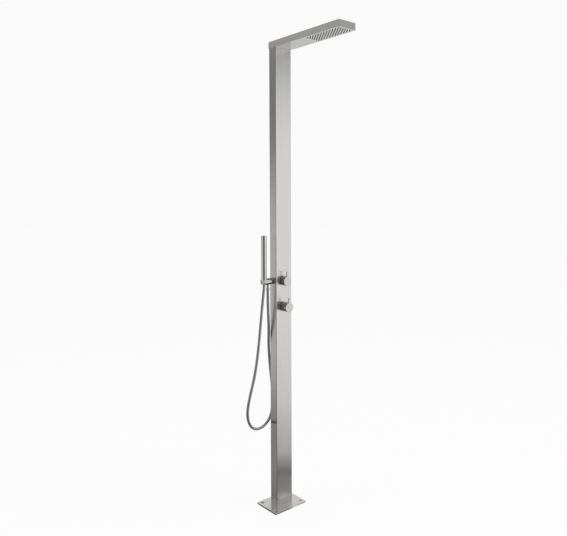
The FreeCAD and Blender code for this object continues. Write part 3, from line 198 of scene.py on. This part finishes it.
def brushed_steel(name, grain, colour=SATIN_COLOUR, roughness=SATIN_ROUGHNESS, spread=SATIN_SPREAD):
    """Satin stainless steel. The grain runs along the axis named by grain, and spreads reflections
    across it."""
    material, graph = new_material(name)
    fine = tuple(SCRATCHES_ALONG if axis == grain else SCRATCHES_ACROSS for axis in "XYZ")
    coarse = tuple(STREAKS_ALONG if axis == grain else STREAKS_ACROSS for axis in "XYZ")
    scratches = graph.noise(fine, detail=3.0, roughness=0.65)
    streaks = graph.noise(coarse)
    clouds = graph.noise(CLOUDS, detail=3.0)
    tone = graph.vary(graph.vary(1.0, streaks, STREAKS_TONE_CHANGE), clouds, CLOUDS_CHANGE)
    rough = graph.vary(roughness, scratches, SCRATCHES_ROUGHNESS_CHANGE)
    rough = graph.vary(rough, clouds, CLOUDS_CHANGE)
    shader = graph.surface(graph.shaded(colour, tone), rough, relief=scratches, depth=SATIN_RELIEF)
    shader.inputs["Anisotropic"].default_value = spread
    across = graph.add("ShaderNodeVectorMath", operation="CROSS_PRODUCT")
    graph.link(graph.add("ShaderNodeNewGeometry").outputs["True Normal"], across.inputs[0])
    across.inputs[1].default_value = [
        1.0 if axis == grain else lean for axis, lean in zip("XYZ", GRAIN_LEAN)
    ]
    graph.link(across.outputs[0], shader.inputs["Tangent"])
    return material


POLISHED_COLOUR = (0.66, 0.655, 0.65)
POLISHED_ROUGHNESS = 0.07
WIPING_MARKS = (90.0, 90.0, 22.0)
WATER_FILM = (14.0, 14.0, 9.0)
MARKS_ROUGHNESS_CHANGE = (-0.02, 0.03)
FILM_ROUGHNESS_CHANGE = (0.0, 0.03)
FILM_TONE_CHANGE = (-0.03, 0.02)
POLISHED_RELIEF = 0.000004


def polished_steel(name, colour=POLISHED_COLOUR, roughness=POLISHED_ROUGHNESS):
    """Polished stainless steel with faint wiping marks and water film."""
    material, graph = new_material(name)
    marks = graph.noise(WIPING_MARKS, detail=4.0, roughness=0.6)
    film = graph.noise(WATER_FILM)
    rough = graph.vary(roughness, marks, MARKS_ROUGHNESS_CHANGE)
    rough = graph.vary(rough, film, FILM_ROUGHNESS_CHANGE)
    tone = graph.vary(1.0, film, FILM_TONE_CHANGE)
    graph.surface(graph.shaded(colour, tone), rough, relief=marks, depth=POLISHED_RELIEF)
    return material


BRASS_COLOUR = (0.72, 0.55, 0.28)
STAINED_BRASS_COLOUR = (0.55, 0.39, 0.18)
BRASS_ROUGHNESS = 0.2
TURNING_MARKS = 500.0
STAINS = 40.0
STAIN_EDGES = (0.35, 0.7)
STAINS_ROUGHNESS_CHANGE = (0.0, 0.2)
BRASS_RELIEF = 0.00001


def brass():
    """Machined brass, a little dulled."""
    material, graph = new_material("machined_brass")
    turned = graph.noise(TURNING_MARKS)
    stains = graph.noise(STAINS, detail=4.0)
    colour = graph.patches(stains, STAIN_EDGES, BRASS_COLOUR, STAINED_BRASS_COLOUR)
    rough = graph.vary(BRASS_ROUGHNESS, stains, STAINS_ROUGHNESS_CHANGE)
    graph.surface(colour, rough, relief=turned, depth=BRASS_RELIEF)
    return material


RUBBER_COLOUR = (0.045, 0.045, 0.047)
LIMED_RUBBER_COLOUR = (0.075, 0.075, 0.078)
RUBBER_ROUGHNESS = 0.5
RUBBER_SKIN = 1500.0
LIME = 160.0
LIME_EDGES = (0.45, 0.75)
SKIN_ROUGHNESS_CHANGE = (-0.07, 0.08)
RUBBER_RELIEF = 0.00001


def rubber(name):
    """Moulded silicone or rubber with a fine matt skin and a trace of lime."""
    material, graph = new_material(name)
    skin = graph.noise(RUBBER_SKIN)
    lime = graph.noise(LIME, detail=4.0)
    colour = graph.patches(lime, LIME_EDGES, RUBBER_COLOUR, LIMED_RUBBER_COLOUR)
    rough = graph.vary(RUBBER_ROUGHNESS, skin, SKIN_ROUGHNESS_CHANGE)
    graph.surface(colour, rough, metallic=0.0, relief=skin, depth=RUBBER_RELIEF)
    return material


MOULDING_COLOUR = (0.50, 0.50, 0.49)
PALE_MOULDING_COLOUR = (0.58, 0.58, 0.56)
MOULDING_ROUGHNESS = 0.4
MOULDING_GRAIN = 900.0
MOULDING_SHADES = 20.0
SHADE_EDGES = (0.3, 0.7)
GRAIN_ROUGHNESS_CHANGE = (0.0, 0.15)
MOULDING_RELIEF = 0.00001


def moulded_plastic():
    """Light grey mouldings inside the post."""
    material, graph = new_material("grey_moulding")
    grain = graph.noise(MOULDING_GRAIN)
    shades = graph.noise(MOULDING_SHADES)
    colour = graph.patches(shades, SHADE_EDGES, MOULDING_COLOUR, PALE_MOULDING_COLOUR)
    rough = graph.vary(MOULDING_ROUGHNESS, grain, GRAIN_ROUGHNESS_CHANGE)
    graph.surface(colour, rough, metallic=0.0, relief=grain, depth=MOULDING_RELIEF)
    return material


CERAMIC_COLOUR = (0.82, 0.81, 0.77)
PALE_CERAMIC_COLOUR = (0.88, 0.87, 0.84)
CERAMIC_ROUGHNESS = 0.1
CERAMIC_FLECKS = 2500.0
CERAMIC_EDGES = (0.4, 0.6)
CERAMIC_ROUGHNESS_CHANGE = (0.0, 0.08)


def ceramic():
    """The valves' lapped discs."""
    material, graph = new_material("lapped_ceramic")
    flecks = graph.noise(CERAMIC_FLECKS)
    colour = graph.patches(flecks, CERAMIC_EDGES, CERAMIC_COLOUR, PALE_CERAMIC_COLOUR)
    graph.surface(colour, graph.vary(CERAMIC_ROUGHNESS, flecks, CERAMIC_ROUGHNESS_CHANGE), metallic=0.0)
    return material


COVER_COLOUR = (0.40, 0.405, 0.41)
WORN_COVER_COLOUR = (0.47, 0.475, 0.48)
COVER_ROUGHNESS = 0.2
COVER_METALLIC = 0.9
COVER_COAT = 0.4
COVER_COAT_ROUGHNESS = 0.08
COVER_FLECKS = 1800.0
COVER_WEAR = (30.0, 30.0, 12.0)
WEAR_EDGES = (0.35, 0.7)
FLECKS_ROUGHNESS_CHANGE = (0.0, 0.1)
COVER_RELIEF = 0.000006


def hose_cover():
    """Metal-effect cover under a clear skin."""
    material, graph = new_material("hose_cover")
    flecks = graph.noise(COVER_FLECKS)
    wear = graph.noise(COVER_WEAR, detail=3.0)
    colour = graph.patches(wear, WEAR_EDGES, COVER_COLOUR, WORN_COVER_COLOUR)
    rough = graph.vary(COVER_ROUGHNESS, flecks, FLECKS_ROUGHNESS_CHANGE)
    shader = graph.surface(colour, rough, COVER_METALLIC, relief=flecks, depth=COVER_RELIEF)
    shader.inputs["Coat Weight"].default_value = COVER_COAT
    shader.inputs["Coat Roughness"].default_value = COVER_COAT_ROUGHNESS
    return material


# Hose: the same route as the solid's, in metres

HOSE_START = (-0.0765, 0.0100, 1.1082)
HOSE_END = (-0.1003, 0.0100, 1.1372)
HOSE_ROUTE = (
    (-0.0765, 0.0100, 1.0650),
    (-0.0705, 0.0150, 0.9900),
    (-0.0615, 0.0220, 0.9150),
    (-0.0532, 0.0350, 0.8400),
    (-0.0440, 0.0410, 0.7650),
    (-0.0335, 0.0445, 0.6900),
    (-0.0220, 0.0460, 0.6050),
    (-0.0180, 0.0450, 0.5170),
    (-0.0360, 0.0410, 0.4480),
    (-0.0870, 0.0340, 0.4130),
    (-0.1435, 0.0270, 0.4115),
    (-0.1890, 0.0210, 0.4480),
    (-0.2040, 0.0180, 0.5120),
    (-0.1890, 0.0170, 0.5840),
    (-0.1640, 0.0160, 0.6620),
    (-0.1445, 0.0150, 0.7500),
    (-0.1305, 0.0140, 0.8500),
    (-0.1198, 0.0130, 0.9500),
    (-0.1117, 0.0120, 1.0250),
    (-0.1049, 0.0106, 1.0880),
    (-0.1003, 0.0100, 1.1230),
)
HOSE_DIAMETER = 0.014
HOSE_SIDES = 20
HOSE_CURVE_ORDER = 3
HOSE_CURVE_STEPS = 24
# The wound groove: metres from turn to turn, rings of the mesh in each turn, metres deep at its middle,
# and half its width as a share of a turn
HOSE_RING_PITCH = 0.0032
HOSE_RING_STEPS = 4
HOSE_RING_DEPTH = 0.0003
HOSE_RING_HALF_WIDTH = 0.22


def route_curve(points):
    """A smooth open curve that follows the points."""
    curve = bpy.data.curves.new("hose_route", "CURVE")
    curve.dimensions = "3D"
    curve.resolution_u = HOSE_CURVE_STEPS
    spline = curve.splines.new("NURBS")
    spline.points.add(len(points) - 1)
    for point, place in zip(spline.points, points):
        point.co = (*place, 1.0)
    spline.order_u = HOSE_CURVE_ORDER
    spline.use_endpoint_u = True
    return curve


def even_points(curve, step):
    """Points along the curve, about a step apart."""
    carrier = bpy.data.objects.new("route_reader", curve)
    bpy.context.scene.collection.objects.link(carrier)
    bpy.context.view_layer.update()
    evaluated = carrier.evaluated_get(bpy.context.evaluated_depsgraph_get())
    mesh = bpy.data.meshes.new_from_object(evaluated)
    line = [v.co.copy() for v in mesh.vertices]
    bpy.data.objects.remove(carrier)
    bpy.data.meshes.remove(mesh)
    lengths = [(b - a).length for a, b in zip(line, line[1:])]
    count = max(2, round(sum(lengths) / step))
    spacing = sum(lengths) / count
    points = [line[0]]
    travelled = 0.0
    for a, b, length in zip(line, line[1:], lengths):
        while len(points) < count and travelled + length >= spacing * len(points):
            points.append(a.lerp(b, (spacing * len(points) - travelled) / length))
        travelled += length
    points.append(line[-1])
    return points


def carried_frames(points):
    """A side and an up direction at each point, carried along the line without twist."""
    frames = []
    side = Vector((0.0, 1.0, 0.0))
    for number in range(len(points)):
        before = points[max(number - 1, 0)]
        after = points[min(number + 1, len(points) - 1)]
        along = (after - before).normalized()
        side = (side - along * side.dot(along)).normalized()
        frames.append((side, along.cross(side)))
    return frames


def groove(turns):
    """How deep the winding's groove is, from 0 to 1, at a number of turns along the hose."""
    from_middle = abs(turns - math.floor(turns) - 0.5)
    return max(0.0, 1.0 - from_middle / HOSE_RING_HALF_WIDTH)


def ringed_tube(name, points):
    """A tube round the points with a shallow wound groove, closed at both ends."""
    radius = HOSE_DIAMETER / 2
    vertices = []
    for number, (point, (side, up)) in enumerate(zip(points, carried_frames(points))):
        for step in range(HOSE_SIDES):
            angle = 2 * math.pi * step / HOSE_SIDES
            turns = number / HOSE_RING_STEPS - step / HOSE_SIDES
            reach = radius - HOSE_RING_DEPTH * groove(turns)
            vertices.append(point + (side * math.cos(angle) + up * math.sin(angle)) * reach)
    faces = [tuple(reversed(range(HOSE_SIDES)))]
    for low in range(0, (len(points) - 1) * HOSE_SIDES, HOSE_SIDES):
        high = low + HOSE_SIDES
        for step in range(HOSE_SIDES):
            following = (step + 1) % HOSE_SIDES
            faces.append((low + step, low + following, high + following, high + step))
    last = (len(points) - 1) * HOSE_SIDES
    faces.append(tuple(range(last, last + HOSE_SIDES)))
    return make_mesh(name, vertices, faces)


def make_mesh(name, vertices, faces, smooth=True):
    """An object with this mesh. Its three- and four-sided faces are smooth unless told otherwise."""
    mesh = bpy.data.meshes.new(name)
    mesh.from_pydata([tuple(v) for v in vertices], [], faces)
    mesh.update()
    for polygon in mesh.polygons:
        polygon.use_smooth = smooth and len(polygon.vertices) <= 4
    piece = bpy.data.objects.new(name, mesh)
    bpy.context.scene.collection.objects.link(piece)
    return piece


def hose():
    """The hose from the outlet's nut, round and up to the hand shower's cone nut."""
    route = route_curve([HOSE_START, *HOSE_ROUTE, HOSE_END])
    points = even_points(route, HOSE_RING_PITCH / HOSE_RING_STEPS)
    piece = ringed_tube("hose_dressed", points)
    piece.data.materials.append(hose_cover())
    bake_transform(piece)
    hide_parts("hose")


# Camera: where the photograph was taken from, in metres and degrees

CAMERA_PLACE = (-1.9229, -2.2963, 1.5372)
CAMERA_YAW = 40.224
CAMERA_PITCH = -2.883
CAMERA_ROLL = -0.186
CAMERA_LENS = 37.78
CAMERA_SENSOR = 36.0
CAMERA_SHIFT_Y = -0.0591
CAMERA_REACH = 100.0


def camera():
    data = bpy.data.cameras.new("camera")
    data.lens = CAMERA_LENS
    data.sensor_width = CAMERA_SENSOR
    data.sensor_fit = "HORIZONTAL"
    data.shift_y = CAMERA_SHIFT_Y
    data.clip_end = CAMERA_REACH
    piece = bpy.data.objects.new("camera", data)
    bpy.context.scene.collection.objects.link(piece)
    turn = Matrix.Rotation(math.radians(-CAMERA_YAW), 4, "Z")
    tilt = Matrix.Rotation(math.radians(90.0 + CAMERA_PITCH), 4, "X")
    roll = Matrix.Rotation(math.radians(CAMERA_ROLL), 4, "Z")
    piece.matrix_world = Matrix.Translation(CAMERA_PLACE) @ turn @ tilt @ roll
    bpy.context.scene.camera = piece


# Studio. The camera sees a white surround. Matt surfaces get an even light. Metal mirrors walls and a
# floor of uneven brightness, which stand for the room that the photograph shows only in the metal.

BACKGROUND = 0.955
MATT_LEVEL = 0.62

# All headings are in turns clockwise from this one, in degrees from +Y. It is the photograph's line of
# sight, and it is fixed in the scene: it doesn't follow a camera that moves.
TONES_HEADING = CAMERA_YAW
WHOLE_TURNS = 2.0

# Walls and far floor, by heading: low down
WALL_TONES = (
    (0.0, 0.80), (0.12, 1.0), (0.18, 1.09), (0.30, 1.09), (0.34, 0.95), (0.365, 0.72), (0.40, 0.24),
    (0.45, 0.19), (0.55, 0.19), (0.585, 0.24), (0.625, 0.74), (0.69, 0.78), (0.74, 0.60), (0.79, 0.57),
    (0.815, 0.80), (0.86, 0.84), (1.0, 0.80),
)
# The walls by heading: higher up
HIGH_TONES = (
    (0.0, 0.80), (0.12, 0.60), (0.22, 0.25), (0.30, 0.22), (0.37, 0.20), (0.41, 0.16), (0.60, 0.16),
    (0.64, 0.22), (0.70, 0.24), (0.80, 0.255), (0.88, 0.50), (1.0, 0.80),
)
# Where the higher tones start, by heading: from 0 at the lowest elevation to 1 at this many degrees
# above it
HIGH_START = (
    (0.0, 0.45), (0.22, 0.55), (0.34, 0.55), (0.5, 0.3), (0.66, 0.05), (0.86, 0.05), (1.0, 0.45),
)
HIGH_LOWEST = -5.0
HIGH_START_SPAN = 20.0
# From there they take over within so many degrees, by these shares
HIGH_BLEND = 9.5
HIGH_SHARE = ((0.0, 0.0), (0.45, 0.2), (0.62, 0.35), (0.8, 0.6), (0.95, 0.88), (1.0, 1.0))
# Overhead, by heading, which comes in between two elevations in degrees
OVERHEAD_TONES = (
    (0.0, 1.0), (0.25, 1.0), (0.30, 1.0), (0.35, 0.28), (0.74, 0.28), (0.765, 0.90), (0.86, 0.85),
    (1.0, 1.0),
)
OVERHEAD_START = 14.5
OVERHEAD_FULL = 23.0
# Right above, one tone, which comes in between two more
TOP_TONE = 0.35
TOP_START = 42.0
TOP_FULL = 60.0

FLOOR_RADIUS = 40.0
FLOOR_SIDES = 96
FLOOR_COLOUR = (0.8, 0.8, 0.79)
# How bright the camera sees the floor, and how much of its true light and shadow shows in that
FLOOR_SHOWN = 0.999
FLOOR_LIT_SHARE = 0.08
# The near floor in the metal, which is painted shade: darker close to the post, with a painted contact
# shadow at its foot. Its tones go by metres from the post along the line in which the post's front
# mirrors the line of sight at TONES_HEADING, and the share of them that is left by heading is painted
# shade too
FLOOR_LINE_X = 0.645
FLOOR_LINE_Y = -0.763
PAINTED_FLOOR_SHADE_TONES = (
    (-8.0, 0.65), (-3.0, 0.61), (-2.3, 0.56), (-1.95, 0.46), (-1.5, 0.37), (-1.1, 0.32), (-0.45, 0.33),
    (-0.15, 0.28), (-0.09, 0.12), (-0.04, 0.12), (0.02, 0.80), (0.09, 0.80), (0.14, 0.36),
    (0.30, (0.35, 0.325, 0.30)), (0.35, 0.30), (0.39, 0.20), (0.42, 0.22), (0.46, 0.36), (0.52, 0.42),
    (0.56, 0.43), (0.64, 0.67), (0.85, 0.69), (1.1, 0.75), (1.6, 0.94), (3.0, 1.0),
)
# Painted shade by heading: the share of the near floor's tone that is left
PAINTED_SHADE_BY_HEADING = (
    (0.0, 1.0), (0.35, 1.0), (0.38, 0.25), (0.46, 0.25), (0.53, 0.45), (0.64, 0.45), (0.67, 1.0),
    (1.0, 1.0),
)
# Between these two distances from the middle, in metres, the near floor turns into the far one
FLOOR_NEAR = 2.5
FLOOR_FAR = 5.0

# Lamps: place in metres, and watts
KEY_LAMP = ("key", (1.6, -2.2, 6.0), 90.0)
FILL_LAMP = ("fill", (-3.4, 1.0, 5.0), 40.0)
LAMP_SIZE = 3.0
LAMP_AIM = (0.0, 0.0, 1.2)


def turns_around(graph, x, y):
    """The heading of a direction or place, in turns clockwise from TONES_HEADING."""
    heading = graph.math("ARCTAN2", x, y)
    from_start = graph.math("SUBTRACT", heading, math.radians(TONES_HEADING))
    turns = graph.math("DIVIDE", from_start, 2 * math.pi)
    # Whole turns are added first, so that what is left is never negative
    return graph.math("FRACT", graph.math("ADD", turns, WHOLE_TURNS))


def painted_floor_shade(graph, x, y, around):
    """The near floor's tone in the metal, which is painted shade round the post."""
    along = graph.math(
        "ADD", graph.math("MULTIPLY", x, FLOOR_LINE_X), graph.math("MULTIPLY", y, FLOOR_LINE_Y)
    )
    nearest, farthest = PAINTED_FLOOR_SHADE_TONES[0][0], PAINTED_FLOOR_SHADE_TONES[-1][0]
    stops = [((metres - nearest) / (farthest - nearest), tone) for metres, tone in PAINTED_FLOOR_SHADE_TONES]
    tone = graph.ramp(graph.span(along, nearest, farthest), stops)
    # Painted shade by heading darkens the near floor's tone
    return graph.mix(1.0, tone, graph.ramp(around, PAINTED_SHADE_BY_HEADING), "MULTIPLY")


def floor():
    """A plain pale floor, which the metal mirrors with painted shade round the post."""
    vertices = [(0.0, 0.0, 0.0)]
    for step in range(FLOOR_SIDES):
        angle = 2 * math.pi * step / FLOOR_SIDES
        vertices.append((FLOOR_RADIUS * math.cos(angle), FLOOR_RADIUS * math.sin(angle), 0.0))
    faces = [(0, 1 + step, 1 + (step + 1) % FLOOR_SIDES) for step in range(FLOOR_SIDES)]
    piece = make_mesh("floor", vertices, faces, smooth=False)
    material, graph = new_material("pale_floor")
    matt = graph.add("ShaderNodeBsdfDiffuse")
    matt.inputs["Color"].default_value = (*FLOOR_COLOUR, 1.0)
    shown = graph.add("ShaderNodeEmission")
    shown.inputs["Color"].default_value = (FLOOR_SHOWN, FLOOR_SHOWN, FLOOR_SHOWN, 1.0)
    place = graph.add("ShaderNodeSeparateXYZ")
    graph.link(graph.add("ShaderNodeTexCoord").outputs["Object"], place.inputs[0])
    x, y, _ = place.outputs
    around = turns_around(graph, x, y)
    squares = [graph.math("MULTIPLY", side, side) for side in (x, y)]
    distance = graph.span(graph.math("SQRT", graph.math("ADD", *squares)), FLOOR_NEAR, FLOOR_FAR)
    # The near floor's painted shade, blending into the wall tones further out
    tone = graph.mix(distance, painted_floor_shade(graph, x, y, around), graph.ramp(around, WALL_TONES))
    mirrored = graph.add("ShaderNodeEmission")
    graph.link(tone, mirrored.inputs["Color"])
    out = graph.add("ShaderNodeOutputMaterial")
    graph.link(graph.by_ray(matt, mirrored, shown, 1.0 - FLOOR_LIT_SHARE), out.inputs["Surface"])
    piece.data.materials.append(material)


def surround():
    """The world: white to the camera, an even level for matt surfaces, and walls in the metal."""
    world = bpy.data.worlds.new("studio")
    bpy.context.scene.world = world
    world.use_nodes = True
    graph = Graph(world.node_tree)
    direction = graph.add("ShaderNodeSeparateXYZ")
    graph.link(graph.add("ShaderNodeTexCoord").outputs["Generated"], direction.inputs[0])
    x, y, z = direction.outputs
    around = turns_around(graph, x, y)
    elevation = graph.math("MULTIPLY", graph.math("ARCSINE", z), 180.0 / math.pi)
    start = graph.brightness(graph.ramp(around, HIGH_START))
    start = graph.math("MULTIPLY", start, HIGH_START_SPAN)
    above = graph.math("SUBTRACT", graph.math("SUBTRACT", elevation, HIGH_LOWEST), start)
    share = graph.ramp(graph.math("DIVIDE", above, HIGH_BLEND, clamp=True), HIGH_SHARE)
    low, high = graph.ramp(around, WALL_TONES), graph.ramp(around, HIGH_TONES)
    tone = graph.mix(graph.brightness(share), low, high)
    overhead = graph.span(elevation, OVERHEAD_START, OVERHEAD_FULL)
    tone = graph.mix(overhead, tone, graph.ramp(around, OVERHEAD_TONES))
    top = graph.span(elevation, TOP_START, TOP_FULL)
    tone = graph.mix(top, tone, (TOP_TONE, TOP_TONE, TOP_TONE))
    mirrored = graph.add("ShaderNodeBackground")
    graph.link(tone, mirrored.inputs["Color"])
    matt = graph.add("ShaderNodeBackground")
    matt.inputs["Color"].default_value = (MATT_LEVEL, MATT_LEVEL, MATT_LEVEL, 1.0)
    shown = graph.add("ShaderNodeBackground")
    shown.inputs["Color"].default_value = (BACKGROUND, BACKGROUND, BACKGROUND, 1.0)
    out = graph.add("ShaderNodeOutputWorld")
    graph.link(graph.by_ray(matt, mirrored, shown), out.inputs["Surface"])


def soft_lamp(name, place, watts):
    """A large round lamp that lights the part and isn't itself mirrored in it."""
    data = bpy.data.lights.new(name, "AREA")
    data.shape = "DISK"
    data.size = LAMP_SIZE
    data.energy = watts
    lamp = bpy.data.objects.new(name, data)
    bpy.context.scene.collection.objects.link(lamp)
    lamp.location = place
    lamp.visible_glossy = False
    aim = Vector(LAMP_AIM) - Vector(place)
    lamp.rotation_euler = aim.to_track_quat("-Z", "Y").to_euler()


# Finishes on the CAD's own pieces

# The plate at the floor is rougher and plainer than the tube
PLATE_ROUGHNESS = 0.36
PLATE_SPREAD = 0.5
FASTENER_COLOUR = (0.55, 0.55, 0.55)
# The sheet under the head and the turned pieces are a darker and duller polish
SHEET_COLOUR = (0.53, 0.525, 0.52)
TURNED_COLOUR = (0.54, 0.535, 0.53)
DULL_ROUGHNESS = 0.1


def dress(names, material):
    """Gives CAD nodes a material."""
    for name in names:
        mesh = nodes[name].data
        mesh.materials.clear()
        mesh.materials.append(material)


def dress_all():
    upright = brushed_steel("brushed_upright", "Z")
    forward = brushed_steel("brushed_forward", "Y")
    polished = polished_steel("polished")
    fasteners = brushed_steel("fastener_steel", "Y", colour=FASTENER_COLOUR)
    plate = brushed_steel("brushed_plate", "X", roughness=PLATE_ROUGHNESS, spread=PLATE_SPREAD)
    sheet = polished_steel("polished_sheet", colour=SHEET_COLOUR, roughness=DULL_ROUGHNESS)
    turned = polished_steel("turned_steel", colour=TURNED_COLOUR, roughness=DULL_ROUGHNESS)
    dress(("post_tube", "service_cover"), upright)
    dress(("riser_pipe", "link_pipe", "hot_pipe", "cold_pipe"), upright)
    dress(("head_shell", "head_feed_pipe"), forward)
    dress(("base_plate", "inlet_bracket"), plate)
    dress(("head_underside_plate",), sheet)
    dress(("outlet_arm", "handset_holder"), turned)
    dress(("hose_outlet_nut", "hose_cone_nut", "handset_body"), polished)
    dress(("service_cover_screws", "head_screws", "head_rivet_nuts"), fasteners)
    fittings = ["pipe_nuts", "hot_inlet", "cold_inlet", "inlet_lock_nuts", "head_elbow", "arm_nipple"]
    fittings += ["arm_lock_nut", "hose_outlet_ferrule", "hose_handset_ferrule"]
    plastics = ["spray_chamber", "pipe_clips", "check_valves"]
    discs = []
    seals = ["hose_outlet_washer", "handset_washer"]
    for valve in ("mixer", "diverter"):
        dress((valve + "_knob", valve + "_pin"), turned)
        dress((valve + "_grub_screw",), fasteners)
        fittings += [valve + "_body", valve + "_lock_nut", valve + "_cartridge_nut", valve + "_stem"]
        plastics.append(valve + "_cartridge")
        discs += [valve + "_fixed_disc", valve + "_moving_disc"]
        seals.append(valve + "_seal")
    dress(fittings, brass())
    dress(plastics, moulded_plastic())
    dress(discs, ceramic())
    dress(seals, rubber("sealing_rubber"))
    dress(("nozzle_mat", "handset_spray_face"), rubber("dark_silicone"))


bpy.context.scene.view_settings.view_transform = "Standard"
camera()
hose()
floor()
surround()
soft_lamp(*KEY_LAMP)
soft_lamp(*FILL_LAMP)
dress_all()
